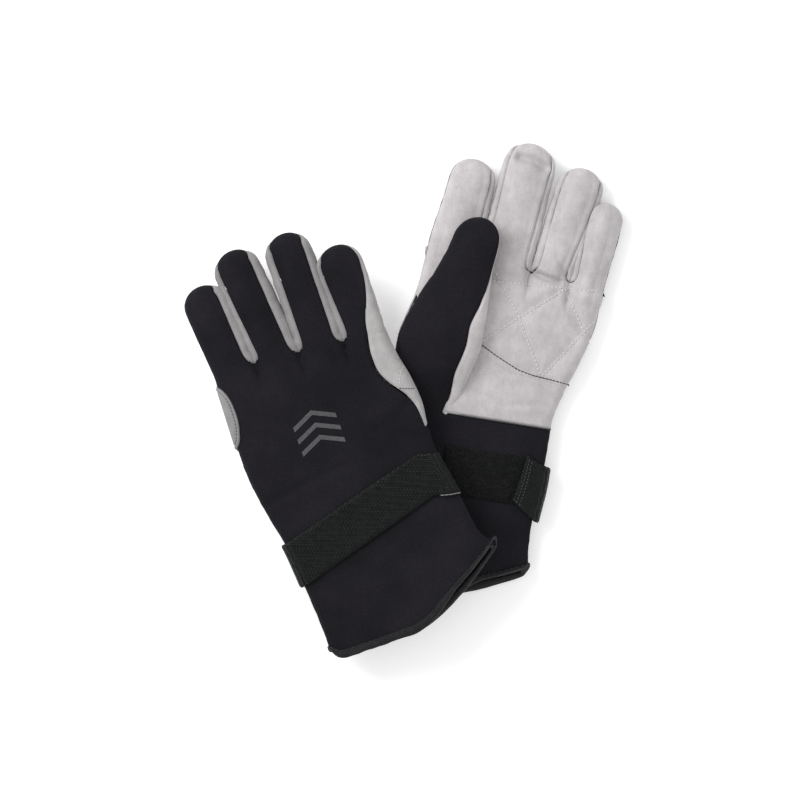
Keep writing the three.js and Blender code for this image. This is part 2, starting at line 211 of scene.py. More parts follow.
def place(g, x, y, z):
    """From a glove's flat frame to the shared frame, still in millimetres."""
    roll, lean = math.radians(g["roll"]), math.radians(g["lean"])
    out = x - g["roll_edge"]
    tx = g["roll_edge"] + out * math.cos(roll) - z * math.sin(roll)
    tz = out * math.sin(roll) + z * math.cos(roll)
    ox, oy, oz = g["origin"]
    return np.stack(
        [
            ox + tx * math.cos(lean) - y * math.sin(lean),
            oy + tx * math.sin(lean) + y * math.cos(lean),
            oz + tz,
        ],
        axis=-1,
    )


def flat_tube(around, half, low, high, crown):
    """Cross-section of a flat tube; around 0..1 runs over the top from +x to -x, 1..2 back below."""
    around = np.mod(around, 2.0)
    radius = np.minimum((high - low) / 2, 0.9 * half)
    middle = (high + low) / 2
    under = around >= 1
    k = np.where(under, around - 1, around)
    sign = np.where(under, -1.0, 1.0)
    flat = half - radius
    rounded = (k < SIDE) | (k > 1 - SIDE)
    turn = np.where(k < SIDE, k / SIDE, 2 - (1 - k) / SIDE) * (math.pi / 2)
    side = np.where(k < SIDE, flat, -flat)
    across = 1 - 2 * (k - SIDE) / (1 - 2 * SIDE)
    bulge = np.where(under, 0.0, crown * (1 - np.clip(across, -1, 1) ** 2))
    x = np.where(rounded, side + radius * np.cos(turn), flat * across)
    z = np.where(rounded, radius * np.sin(turn), radius + bulge)
    return sign * x, middle + sign * z


def face_turn(g, around):
    return around + (0.0 if g["back_up"] else 1.0)


def section(g, along):
    return curve(g["outline"], along)


def set_up(g):
    """Work out where each finger starts, its length and which of its sides face another finger."""
    kx, ky, slope = g["knuckle"]
    n = math.hypot(1, slope)
    last = len(g["fingers"]) - 1
    for i, f in enumerate(g["fingers"]):
        f["root"] = (f["base"], ky + slope * (f["base"] - kx))
        f["side"] = (1 / n, slope / n)
        f["web"] = (float(i > 0), float(i < last))
        dx, dy = f["tip"][0] - f["root"][0], f["tip"][1] - f["root"][1]
        f["length"] = math.hypot(dx, dy)
        f["dir"] = (dx / f["length"], dy / f["length"])


def distance_to(path, x, y):
    """Distance from points to a polyline."""
    best = np.full(np.shape(x), 1e9)
    for (ax, ay), (bx, by) in zip(path[:-1], path[1:]):
        lx, ly = bx - ax, by - ay
        k = np.clip(((x - ax) * lx + (y - ay) * ly) / (lx * lx + ly * ly), 0, 1)
        best = np.minimum(best, np.hypot(x - ax - k * lx, y - ay - k * ly))
    return best


def relief(g, x, y):
    """Height of slow hills, creases and dents in the fabric that lies uppermost."""
    p = np.stack([x, y, np.zeros_like(x)], axis=-1)
    seed = 1 if g["back_up"] else 5
    height = 0.75 * noise(p, 36, seed) + 0.35 * noise(p, 15, seed + 1)
    for width, depth, path in g["creases"]:
        height = height - depth * np.exp(-((distance_to(path, x, y) / width) ** 2))
    return height


def root_section(g, x):
    """Heights of the upper and the lower side of the row of fingers along the knuckle line."""
    middle = radius = FINGER_HEIGHT / 2
    fingers = g["fingers"]
    among = (x > fingers[0]["root"][0]) & (x < fingers[-1]["root"][0])
    level = np.where(among, radius * WEB, 0.0)
    top, under = middle + level, middle - level
    for f in fingers:
        dx = (x - f["root"][0]) / f["side"][0]
        half = f["width"][0] / 2
        flat = half - radius
        beyond = np.clip((np.abs(dx) - flat) / radius, 0, 1)
        web = WEB * np.where(dx > 0, f["web"][1], f["web"][0])
        arch = web + (1 - web) * np.sqrt(1 - beyond ** 2)
        crown = FINGER_CROWN * np.clip(1 - (dx / flat) ** 2, 0, 1)
        inside = np.abs(dx) <= half
        top = np.where(inside, np.maximum(top, middle + radius * arch + crown), top)
        under = np.where(inside, np.minimum(under, middle - radius * arch), under)
    return top, under


def rounded_corner(inside, radius):
    """How far a corner of the given radius is cut back at a distance inside the outline."""
    across = np.clip(radius - inside, 0, 0.9 * radius)
    return radius - np.sqrt(radius ** 2 - across ** 2)


def hand_flat(g, around, along, out):
    """Point of the hand and cuff in the glove's flat frame, `out` mm outside the fabric."""
    left, right, low, high, crown = section(g, along)
    turn = np.mod(face_turn(g, around), 2.0)
    sx, z = flat_tube(turn, (right - left) / 2 + out, low - out, high + out, crown)
    x = (left + right) / 2 + sx
    over = turn < 1
    middle = (high + low) / 2
    start, rise, span, power, fade = g["hem"]
    hem_fade = np.clip((g["outline"][0][0] + fade - along) / fade, 0, 1) ** 1.15
    # Towards the thumb side of the upper layer the hem sits a little further back.
    lip_height, lip_from = g["lip"]
    upper_share = ease((z - middle) / (high - low) + 0.5)
    lip = lip_height * upper_share * ease((x - lip_from) / 30)
    corner = rounded_corner(x - left, g["corner"][0]) + rounded_corner(right - x, g["corner"][1])
    hem_rise = rise * np.maximum((x - start) / span, 0) ** power + lip + corner
    kx, _, slope = g["knuckle"]
    tilt = slope * (x - kx) * np.clip((along - g["palm_seam"] - 30) / 50, 0, 1)
    y = along + hem_rise * hem_fade + tilt
    end = g["outline"][-1][0]
    near = ease((along - (end - 24)) / 24)
    top, under = root_section(g, x)
    z = mix(z, np.where(over, top + out, under - out), near)
    z = z + relief(g, x, y) * ease((z - middle) / RELIEF_FADE)
    return x, y, z


def hand_point(g, around, along, out=0.0):
    x, y, z = hand_flat(g, around, along, out)
    return place(g, x, y, z)


def around_at(g, x, along):
    """The `around` of the place at x on the uppermost side of the hand."""
    left, right, low, high, _ = section(g, along)
    radius = (high - low) / 2
    flat = (right - left) / 2 - radius
    dx = x - (left + right) / 2
    on_side = SIDE * np.arccos(np.clip((np.abs(dx) - flat) / radius, 0, 1)) / (math.pi / 2)
    on_flat = SIDE + (1 - np.clip(np.abs(dx) / flat, 0, 1)) / 2 * (1 - 2 * SIDE)
    k = np.where(np.abs(dx) > flat, on_side, on_flat)
    k = np.where(dx < 0, 1 - k, k)
    return k if g["back_up"] else k + 1.0


def along_at(g, x, y):
    """The `along` of the place at x, y, clear of the hem."""
    kx, _, slope = g["knuckle"]
    along = y
    for _ in range(4):
        along = y - slope * (x - kx) * np.clip((along - g["palm_seam"] - 30) / 50, 0, 1)
    return along


def on_top(g, x, y, out=0.0):
    """Point of the hand's uppermost surface at x, y of the glove's flat frame."""
    x, y = np.asarray(x, float), np.asarray(y, float)
    along = along_at(g, x, y)
    return hand_point(g, around_at(g, x, along), along, out)


def finger_flat(g, f, around, s, out=0.0):
    """Point of a finger's tube; s is the distance from the knuckle line in mm."""
    length = f["length"]
    THUMB_NOSE = f["width"][1] * 0.5
    nose = np.clip((s - (length - THUMB_NOSE)) / (THUMB_NOSE + out), 0, 1)
    shrink = np.maximum(np.sqrt(np.maximum(1 - nose ** 2.2, 0)), 0.04)
    width = mix(f["width"][0], f["width"][1], ease(s / (0.7 * length)))
    half = (width / 2 + out) * shrink
    middle = FINGER_HEIGHT / 2
    rise = (middle + out) * shrink ** 0.55
    turn = np.mod(face_turn(g, around), 2.0)
    sx, z = flat_tube(turn, half, middle - rise, middle + rise, FINGER_CROWN * shrink)
    web = WEB * (1 - ease(s / WEB_FADE)) * np.where(sx > 0, f["web"][1], f["web"][0])
    over = np.where(turn < 1, 1.0, -1.0)
    k = over * (z - middle) / rise
    k = np.where(k <= 1, web + (1 - web) * k, k)
    z = middle + over * rise * k
    square = np.clip(s / (0.4 * length), 0, 1)
    ax = mix(f["side"][0], f["dir"][1], square)
    ay = mix(f["side"][1], -f["dir"][0], square)
    n = np.hypot(ax, ay)
    x = f["root"][0] + f["dir"][0] * s + sx * ax / n
    y = f["root"][1] + f["dir"][1] * s + sx * ay / n
    z = z + relief(g, x, y) * ease((z - middle) / RELIEF_FADE) * shrink
    return x, y, z


def finger_point(g, f, around, s, out=0.0):
    return place(g, *finger_flat(g, f, around, s, out))


def seam_turn(inset, width, height):
    """How far round a tube's edge a seam lies that shows `inset` mm inside the outline."""
    radius = height / 2
    flat = width / 2 - radius
    on_side = SIDE * np.arccos(np.clip((radius - inset) / radius, 0, 1)) / (math.pi / 2)
    on_flat = SIDE + np.maximum(inset - radius, 0) / flat / 2 * (1 - 2 * SIDE)
    return np.where(inset > radius, on_flat, on_side)


# ---------------------------------------------------------------- meshes
def make_object(name, verts, faces, material, sharp=None):
    mesh = bpy.data.meshes.new(name)
    mesh.from_pydata((np.asarray(verts) / 1000).tolist(), [], np.asarray(faces).tolist())
    mesh.shade_smooth()
    if sharp is not None:
        pairs = np.sort(np.asarray(sharp), axis=1)
        keys = set((pairs[:, 0] * len(verts) + pairs[:, 1]).tolist())
        ends = np.empty(len(mesh.edges) * 2, np.int64)
        mesh.edges.foreach_get("vertices", ends)
        ends = np.sort(ends.reshape(-1, 2), axis=1)
        flags = [k in keys for k in (ends[:, 0] * len(verts) + ends[:, 1]).tolist()]
        mesh.attributes.new("sharp_edge", "BOOLEAN", "EDGE").data.foreach_set("value", flags)
    obj = bpy.data.objects.new(name, mesh)
    bpy.context.scene.collection.objects.link(obj)
    obj.data.materials.append(material)
    return obj


def grid_normals(p):
    return unit(np.cross(np.gradient(p, axis=0), np.gradient(p, axis=1)))


def arc(p, axis):
    """Distance in mm from the first row or column, along each column or row."""
    total = np.cumsum(np.linalg.norm(np.diff(p, axis=axis), axis=-1), axis=axis)
    return np.insert(total, 0, 0.0, axis=axis)


def turn_in(p, seams, depth=GROOVE, strength=1.0):
    """Curl a panel's edges down into its seams: first and last column, start and end row."""
    across, along = arc(p, 1), arc(p, 0)
    distance = np.full(p.shape[:2], 1e3)
    if "first" in seams:
        distance = np.minimum(distance, across)
    if "last" in seams:
        distance = np.minimum(distance, across[:, -1:] - across)
    if "start" in seams:
        distance = np.minimum(distance, along)
    if "end" in seams:
        distance = np.minimum(distance, along[-1:] - along)
    drop = -depth * (1 - ease(distance / GROOVE_WIDTH)) ** 1.3
    # Fabric is drawn in a little every few millimetres where stitches hold it.
    pucker = 0.22 * noise(p, 4.0, 9) * np.exp(-((distance / 5.0) ** 2)) * (distance < 100)
    return p + grid_normals(p) * ((drop + pucker) * strength)[..., None]


def shell(name, outer, thickness, material):
    """A closed skin: the outer grid (along, around, 3), an inner one below it, and the rims."""
    inner = outer - grid_normals(outer) * np.asarray(thickness)[..., None]
    rows, cols = outer.shape[:2]
    verts = np.concatenate([outer.reshape(-1, 3), inner.reshape(-1, 3)])
    index = np.arange(rows * cols).reshape(rows, cols)
    base = rows * cols

    def quads(a, b, c, d):
        return np.stack([a.ravel(), b.ravel(), c.ravel(), d.ravel()], axis=1)

    a, b, c, d = index[:-1, :-1], index[1:, :-1], index[1:, 1:], index[:-1, 1:]
    faces = [quads(a, b, c, d), quads(base + d, base + c, base + b, base + a)]
    sharp = []
    edges = [index[0, ::-1], index[-1, :], index[:, 0], index[::-1, -1]]
    for line in edges:
        p, q = line[:-1], line[1:]
        faces.append(quads(q, p, base + p, base + q)[:, ::-1])
        sharp += [np.stack([p, q], 1), np.stack([base + p, base + q], 1)]
    return make_object(name, verts, np.concatenate(faces), material, np.concatenate(sharp))


def tube_ring(name, grid, material):
    """A closed ring of a closed section: grid (round the section, round the ring, 3)."""
    rows, cols = grid.shape[:2]
    index = np.arange(rows * cols).reshape(rows, cols)
    down, right = np.roll(index, -1, axis=0), np.roll(index, -1, axis=1)
    both = np.roll(down, -1, axis=1)
    faces = np.stack([index.ravel(), down.ravel(), both.ravel(), right.ravel()], axis=1)
    return make_object(name, grid.reshape(-1, 3), faces, material)


def steps(length, pitch, fine_start=True, fine_end=True):
    """Shares 0..1 of a length in mm, evenly spaced but closer together beside a seam."""
    near = [0.0, 0.35, 0.75, 1.2, 1.8, 2.5]
    if length < 9:
        return np.linspace(0, 1, 11)
    start = near if fine_start else [0.0]
    end = [length - d for d in reversed(near)] if fine_end else [length]
    between = end[0] - start[-1]
    count = max(int(round(between / pitch)), 1)
    middle = [start[-1] + between * n / count for n in range(1, count)]
    return np.array(start + middle + end) / length


# ---------------------------------------------------------------- materials
class Looks:
    """Builds one node material."""

    def __init__(self, name):
        self.material = bpy.data.materials.new(name)
        self.material.use_nodes = True
        self.tree = self.material.node_tree
        self.tree.nodes.clear()
        self.shader = self.node("ShaderNodeBsdfPrincipled")
        output = self.node("ShaderNodeOutputMaterial")
        self.link(self.shader.outputs["BSDF"], output.inputs["Surface"])
        self.place = self.node("ShaderNodeTexCoord").outputs["Object"]

    def node(self, kind, inputs=(), **values):
        made = self.tree.nodes.new(kind)
        for key, value in values.items():
            setattr(made, key, value)
        for key, value in inputs:
            made.inputs[key].default_value = value
        return made

    def link(self, source, target):
        self.tree.links.new(source, target)

    def noise(self, size, detail=3.0, roughness=0.55, stretch=None):
        """Noise with features `size` metres across."""
        source = self.place
        if stretch:
            mapping = self.node("ShaderNodeMapping", [("Scale", stretch)])
            self.link(source, mapping.inputs["Vector"])
            source = mapping.outputs["Vector"]
        values = [("Scale", 1 / size), ("Detail", detail), ("Roughness", roughness)]
        made = self.node("ShaderNodeTexNoise", values)
        self.link(source, made.inputs["Vector"])
        return made.outputs["Fac"]

    def ribs(self, pitch, direction, distortion=0.6):
        """Parallel knitted ribs, `pitch` metres apart."""
        values = [("Scale", 1 / pitch / 3.2), ("Distortion", distortion)]
        made = self.node("ShaderNodeTexWave", values, wave_type="BANDS", bands_direction=direction)
        self.link(self.place, made.inputs["Vector"])
        return made.outputs["Fac"]

    def blend(self, factor, low, high, start=0.35, end=0.65):
        ramp = self.node("ShaderNodeValToRGB")
        ramp.color_ramp.elements[0].position = start
        ramp.color_ramp.elements[1].position = end
        ramp.color_ramp.elements[0].color = (*low, 1)
        ramp.color_ramp.elements[1].color = (*high, 1)
        self.link(factor, ramp.inputs["Fac"])
        return ramp.outputs["Color"]

    def multiply(self, a, b):
        made = self.node("ShaderNodeMix", [(0, 1.0)], data_type="RGBA", blend_type="MULTIPLY")
        self.link(a, made.inputs[6])
        self.link(b, made.inputs[7])
        return made.outputs[2]

    def colour(self, source):
        self.link(source, self.shader.inputs["Base Color"])

    def bump(self, layers):
        """layers: (height output, depth in metres)."""
        normal = None
        for height, depth in layers:
            made = self.node("ShaderNodeBump", [("Strength", 1.0), ("Distance", depth)])
            self.link(height, made.inputs["Height"])
            if normal:
                self.link(normal, made.inputs["Normal"])
            normal = made.outputs["Normal"]
        self.link(normal, self.shader.inputs["Normal"])

    def rough(self, source, low, high):
        made = self.node("ShaderNodeMapRange", [("To Min", low), ("To Max", high)])
        self.link(source, made.inputs["Value"])
        self.link(made.outputs["Result"], self.shader.inputs["Roughness"])

    def shine(self, level):
        self.shader.inputs["Specular IOR Level"].default_value = level

    def sheen(self, weight, roughness, tint):
        self.shader.inputs["Sheen Weight"].default_value = weight
        self.shader.inputs["Sheen Roughness"].default_value = roughness
        self.shader.inputs["Sheen Tint"].default_value = (*tint, 1)


def neoprene():
    """Black closed-cell foam faced with a fine jersey knit."""
    look = Looks("neoprene")
    broad = look.noise(0.045, 3.0)
    knit = look.ribs(0.0009, "X")
    fine = look.noise(0.0012, 2.0)
    shade = look.blend(broad, (0.0082, 0.0075, 0.0096), (0.0132, 0.0120, 0.0156))
    thread = look.blend(fine, (0.8, 0.8, 0.8), (1.15, 1.15, 1.15))
    look.colour(look.multiply(shade, thread))
    look.rough(fine, 0.72, 0.88)
    look.bump([(knit, 0.00003), (fine, 0.00014)])
    look.sheen(0.02, 0.5, (0.8, 0.78, 0.9))
    look.shine(0.07)
    return look.material


def suede(name, low, high):
    """Napped synthetic suede: a brushed nap, short fibres, and patches a little darker or lighter at random.
    """
    look = Looks(name)
    patches = look.noise(0.016, 4.0, 0.6)
    nap = look.noise(0.0035, 5.0, 0.7, stretch=(1.0, 0.45, 1.0))
    fibre = look.noise(0.0007, 2.0)
    shade = look.blend(patches, low, high, 0.3, 0.7)
    brushed = look.blend(nap, (0.93, 0.93, 0.93), (1.04, 1.04, 1.04))
    grain = look.blend(fibre, (0.93, 0.93, 0.93), (1.05, 1.05, 1.05))
    look.colour(look.multiply(look.multiply(shade, brushed), grain))
    look.rough(nap, 0.85, 1.0)
    look.bump([(nap, 0.00025), (fibre, 0.00012)])
    look.sheen(0.06, 0.6, (1.0, 0.98, 0.98))
    look.shine(0.1)
    return look.material


def woven(name, low, high, roughness, depth):
    """Dense narrow weave, with fine warp threads that catch the light."""
    look = Looks(name)
    warp = look.ribs(0.0011, "X", 0.3)
    weft = look.ribs(0.0013, "Y", 0.3)
    uneven = look.noise(0.004, 3.0)
    look.colour(look.blend(uneven, low, high))
    look.rough(uneven, roughness - 0.08, roughness + 0.08)
    look.bump([(warp, depth), (weft, depth)])
    look.shine(0.14)
    look.sheen(0.03, 0.4, (0.75, 0.9, 0.95))
    return look.material


def fuzzy(name):
    """Loop pile: a mat of tiny curls."""
    look = Looks(name)
    curls = look.noise(0.0011, 4.0, 0.75)
    clumps = look.noise(0.006, 3.0)
    shade = look.blend(clumps, (0.0056, 0.0058, 0.0060), (0.0078, 0.0080, 0.0084))
    look.colour(look.multiply(shade, look.blend(curls, (0.35, 0.35, 0.35), (2.2, 2.2, 2.2))))
    look.rough(curls, 0.85, 1.0)
    look.bump([(curls, 0.0007)])
    look.sheen(0.05, 0.4, (0.8, 0.85, 0.9))
    look.shine(0.1)
    return look.material


def thread(name, colour):
    """Twisted sewing thread."""
    look = Looks(name)
    twist = look.noise(0.0006, 2.0)
    low = tuple(c * 0.75 for c in colour)
    look.colour(look.blend(twist, low, colour))
    look.rough(twist, 0.5, 0.7)
    look.bump([(twist, 0.00008)])
    return look.material


def rubber_print(name):
    """Matt screen print, thin and slightly worn."""
    look = Looks(name)
    wear = look.noise(0.0012, 4.0, 0.7)
    look.colour(look.blend(wear, (0.03, 0.03, 0.032), (0.075, 0.075, 0.08)))
    look.rough(wear, 0.5, 0.75)
    look.bump([(wear, 0.00006)])
    return look.material


LOOKS = {
    "neoprene": neoprene(),
    "suede": suede("suede", (0.43, 0.41, 0.415), (0.55, 0.525, 0.53)),
    # A darker copy of the light suede: painted shade for the upper glove's index wedge and the fronts of its
    # fingers.
    "suede_painted_shade": suede("suede_painted_shade", (0.34, 0.33, 0.33), (0.43, 0.415, 0.415)),
    # A still darker copy of the light suede: painted shade for the upper glove's side walls in the gaps
    # between its fingers.
    "suede_painted_deep_shade": suede("suede_painted_deep_shade", (0.215, 0.209, 0.209), (0.29, 0.281, 0.281)),
    "suede_mid": suede("suede_mid", (0.19, 0.187, 0.19), (0.26, 0.256, 0.26)),
    "webbing": woven("webbing", (0.0036, 0.0042, 0.0041), (0.0072, 0.0082, 0.0080), 0.4, 0.00012),
    "pad": fuzzy("pad"),
    "binding": woven("binding", (0.011, 0.011, 0.012), (0.019, 0.019, 0.021), 0.7, 0.0001),
    "thread_light": thread("thread_light", (0.75, 0.74, 0.74)),
    "thread_dark": thread("thread_dark", (0.05, 0.048, 0.05)),
    "thread_grey": thread("thread_grey", (0.05, 0.055, 0.06)),
    "thread_pale": thread("thread_pale", (0.17, 0.165, 0.18)),
    "thread_black": thread("thread_black", (0.006, 0.006, 0.007)),
    "print": rubber_print("print"),
}


# ---------------------------------------------------------------- pieces
def piece(g, name, grid, thickness, look, nodes=(), body="hand", bend=None, held="stretched",
          rests_on=()):
    """One sewn panel: its skin, the solid it stands for, and the body it moves with, unless it has a bend
    line, when it is only baked in place. How large it was cut (held) is not used.
    """
    obj = shell(f"{g['name']}.{name}", grid, thickness, LOOKS[look])
    finish_piece(g, obj, nodes, body, bend)
    return obj


def finish_piece(g, obj, nodes=(), body="hand", bend=None):
    if nodes:
        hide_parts(*[f"{g['name']}_{n}" for n in nodes])
    if bend:
        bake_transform(obj)
    else:
        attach(obj, f"{g['name']}_{body}")


def between(first, last):
    """Span of a piece whose two ends keep the same `around` from row to row."""
    return lambda y: (np.full_like(y, first), np.full_like(y, last))


def hand_grid(g, span, reach, pitch, fine):
    """Grid of the hand's surface. span(along) gives the two ends of `around`."""
    rows = mix(reach[0], reach[1], steps(reach[1] - reach[0], pitch, "start" in fine, "end" in fine))
    middle = np.full(2, (reach[0] + reach[1]) / 2)
    first, last = span(middle)
    probe = hand_point(g, np.linspace(first[0], last[0], 60), np.full(60, middle[0]))
    width = float(np.sum(np.linalg.norm(np.diff(probe, axis=0), axis=-1)))
    cols = steps(width, pitch, "first" in fine, "last" in fine)
    first, last = span(rows)
    around = first[:, None] + (last - first)[:, None] * cols[None, :]
    along = np.broadcast_to(rows[:, None], around.shape)
    return around, along


def hand_piece(g, name, look, span, reach, thickness, seams, pitch=1.6, out=0.0, **facts):
    around, along = hand_grid(g, span, reach, pitch, seams)
    grid = turn_in(hand_point(g, around, along, out), seams)
    return piece(g, name, grid, thickness, look, nodes=[name], **facts)


ALL_SEAMS = ("first", "last", "start", "end")
EDGE = 0.004  # half of a seam's width, in `around`


def wedge_edge(g):
    """The `around` where the back panel meets the index-side wedge."""
    def at(along):
        x = curve(g["wedge"], along)[0]
        if g["back_up"]:
            edge = around_at(g, x, along)
        else:
            edge = x
        start = g["wedge"][0][0]
        return np.where(along < start, 0.0, edge)
    return at


def add_hand(g):
    hem = g["outline"][0][0]
    knuckle = g["outline"][-1][0]
    start = hem + BINDING_WIDTH - 1.5
    wedge = wedge_edge(g)
    wedge_low = g["wedge"][0][0]
    fine = 1.3
    coarse = 2.4
    seen_back, seen_palm = (fine, coarse) if g["back_up"] else (coarse, fine)
    hand_piece(g, "back_panel", "neoprene", lambda y: (wedge(y) + EDGE, np.full_like(y, 1 - EDGE)),
               (start, knuckle), NEOPRENE, ("first", "last"), seen_back)

    root_top = wedge_low + 30

    wedge_from = g["wedge_from"]

    def palm_edge(y):
        return mix(THUMB_ROOT_EDGE, wedge_from, ease((y - root_top) / 14))

    hand_piece(g, "palm_panel", "suede", lambda y: (np.full_like(y, 1 + EDGE), palm_edge(y)),
               (g["palm_seam"] + 0.3, knuckle), SUEDE, ("first", "last", "start"), seen_palm)
    hand_piece(g, "thumb_root", "neoprene",
               lambda y: (palm_edge(y) + EDGE, np.where(y < wedge_low, 2 - EDGE, wedge_from + EDGE)),
               (g["palm_seam"] + 0.3, root_top + 13), NEOPRENE, ALL_SEAMS, seen_palm)
    # On the upper glove the index wedge takes the darker copy of the suede: painted shade on the side of the
    # hand.
    hand_piece(g, "index_wedge", "suede" if not g["back_up"] else "suede_painted_shade",
               lambda y: (np.full_like(y, wedge_from + EDGE), 2 + wedge(y) - EDGE),
               (wedge_low + 1, knuckle), SUEDE, ("first", "last", "start"), fine)
    hand_piece(g, "cuff_panel", "neoprene",
               between(1 + EDGE, 2 - EDGE),
               (start, g["palm_seam"]), NEOPRENE, ("first", "last", "end"), seen_palm)
    add_binding(g)
    add_patch(g)
    add_guard(g)


def hem_stretch(g, around):
    """How much longer a step up the cuff is than the same step square to the slanting hem."""
    x, y, _ = hand_flat(g, around, np.full_like(around, g["outline"][0][0]), 0.0)
    run = np.maximum(np.abs(np.gradient(x)), 1e-3)
    slope = np.clip(np.abs(np.gradient(y)) / run, 0, 0.9)
    wrapped = np.concatenate([slope[-10:], slope, slope[:10]])
    smooth = np.convolve(wrapped, np.ones(21) / 21, mode="valid")
    return np.sqrt(1 + smooth ** 2)


def add_binding(g):
    """Bound hem: a stuffed tape folded over the cuff's edge."""
    hem = g["outline"][0][0]
    turns = 20
    angle = np.linspace(0, 2 * math.pi, turns, endpoint=False)
    half_width, half_depth = BINDING_WIDTH / 2, NEOPRENE / 2 + 1.3
    round_x = np.sign(np.cos(angle)) * np.abs(np.cos(angle)) ** 0.85
    round_z = np.sign(np.sin(angle)) * np.abs(np.sin(angle)) ** 0.85
    around = np.linspace(0, 2, 360, endpoint=False)
    stretch = hem_stretch(g, around)
    out = -NEOPRENE / 2 + half_depth * round_z
    grid = np.stack([
        hand_point(g, around, hem + half_width * (1 - round_x[n]) * stretch, out[n])
        for n in range(turns)
    ])
    wave = 0.3 * noise(grid, 6.0, 4)
    centre = grid.mean(axis=0, keepdims=True)
    outward = unit(grid - centre)
    obj = tube_ring(f"{g['name']}.hem_binding", grid + outward * wave[..., None], LOOKS["binding"])
    finish_piece(g, obj, ["hem_binding"])


def guard_outline(g, inset=0.0, count=41):
    """The guard's rounded end: rows of depth inside the little-finger edge, distance from the hem."""
    low, high, depth, sweep = g["guard"]
    turn = np.radians(np.linspace(-sweep, sweep, count))
    middle, half = (low + high) / 2, (high - low) / 2
    return np.stack([(depth - inset) * np.cos(turn), middle + (half - inset) * np.sin(turn)], axis=1)


def add_guard(g):
    """Edge guard: wraps the little-finger edge, with a round end on the back of the hand."""
    edge = guard_outline(g, count=49)
    left, right, _, _, _ = section(g, edge[:, 1])
    first = 1 - seam_turn(edge[:, 0], right - left, FINGER_HEIGHT)
    first = np.minimum(first, g["guard_end"] - 0.02)
    c = steps(26.0, 0.9)
    around = first[:, None] + (g["guard_end"] - first)[:, None] * c[None, :]
    along = np.broadcast_to(edge[:, 1][:, None], around.shape)
    x, y, _ = hand_flat(g, around, along, 0.0)
    rim_x, rim_y, _ = hand_flat(g, first, edge[:, 1], 0.0)
    distance = distance_to(np.stack([rim_x, rim_y], axis=1), x, y)
    grid = hand_point(g, around, along, mix(0.5, g["guard_out"], ease(distance / 2)))
    rim = 0.5 * np.exp(-(((distance - 1.1) / 0.8) ** 2))
    groove = 0.45 * np.exp(-(((distance - 2.6) / 0.55) ** 2))
    grid = grid + grid_normals(grid) * (rim - groove)[..., None]
    piece(g, "edge_guard", turn_in(grid, ("first", "start", "end"), 1.2), 1.2, "suede_mid",
          nodes=["edge_guard"], rests_on=[f"{g['name']}.back_panel"])


def add_patch(g):
    if g["back_up"]:
        hand_piece(g, "palm_patch", "suede", between(1.15, 1.62),
                   (118, 178), 1.2, ALL_SEAMS, 2.2, out=1.3, rests_on=["upper.palm_panel"])
        return
    bottom, top = g["patch_bottom"], g["patch_top"]
    c = steps(80.0, 0.9)
    v = steps(60.0, 0.9)
    first = 1.035
    last = float(around_at(g, np.array(-37.0), np.array(175.0)))
    around = np.broadcast_to(mix(first, last, c)[None, :], (len(v), len(c)))
    guess = np.full_like(around, 175.0)
    x, _, _ = hand_flat(g, around, guess, 0.0)
    y = mix(curve(bottom, x)[0], curve(top, x)[0], v[:, None])
    along = along_at(g, x, y)
    x, y, _ = hand_flat(g, around, along, 0.0)
    d = np.full_like(x, 1e3)
    for line in g["quilting"]:
        d = np.minimum(d, distance_to(line, x, y))
    d = np.minimum(d, np.abs(y - curve(top, x)[0]) * 0.9)
    d = np.minimum(d, np.abs(y - curve(bottom, x)[0]) * 0.9)
    out = 0.35 + 1.3 * (1 - np.exp(-((d / 4.2) ** 2)))
    grid = hand_point(g, around, along, out)
    piece(g, "palm_patch", turn_in(grid, ALL_SEAMS, 1.0), 1.0, "suede", nodes=["palm_patch"],
          held="laid", rests_on=["lower.palm_panel"])


# ---------------------------------------------------------------- strap
def band_grid(g, ends, low, high, lift, rib=0.0, inset=0.0, pitch=0.36, skew=0.0, lengthwise=False):
    """Strip of webbing round the cuff. lift(mm from its start) is its height off the fabric."""
    probe = np.linspace(ends[0], ends[1], 500)
    level = float((low(0.0) + high(0.0)) / 2)
    p = hand_point(g, probe, np.full_like(probe, level))
    run = arc(p[None], 1)[0]
    total = run[-1]
    share = steps(total, pitch)
    around = np.interp(share * total, run, probe)
    length = share * total
    x, _, _ = hand_flat(g, around, np.full_like(around, level), 0.0)
    breadth = float(high(0.0) - low(0.0)) - 2 * inset
    v = steps(breadth, 0.36 if lengthwise else 1.4)
    y = mix(low(x) + inset, high(x) - inset, v[:, None])
    wide = around[0] + (around[None, :] - around[0]) * (1 + skew * (0.5 - v[:, None]))
    slant = 0.35 * np.abs(((v[:, None] * 4) % 1.0) - 0.5)
    cord = breadth * v[:, None] / RIB_PITCH if lengthwise else length[None, :] / RIB_PITCH + slant
    ribs = rib * (np.abs(np.sin(math.pi * cord)) ** 0.6 - 1)
    return hand_point(g, wide, y, lift(length)[None, :] + ribs), length


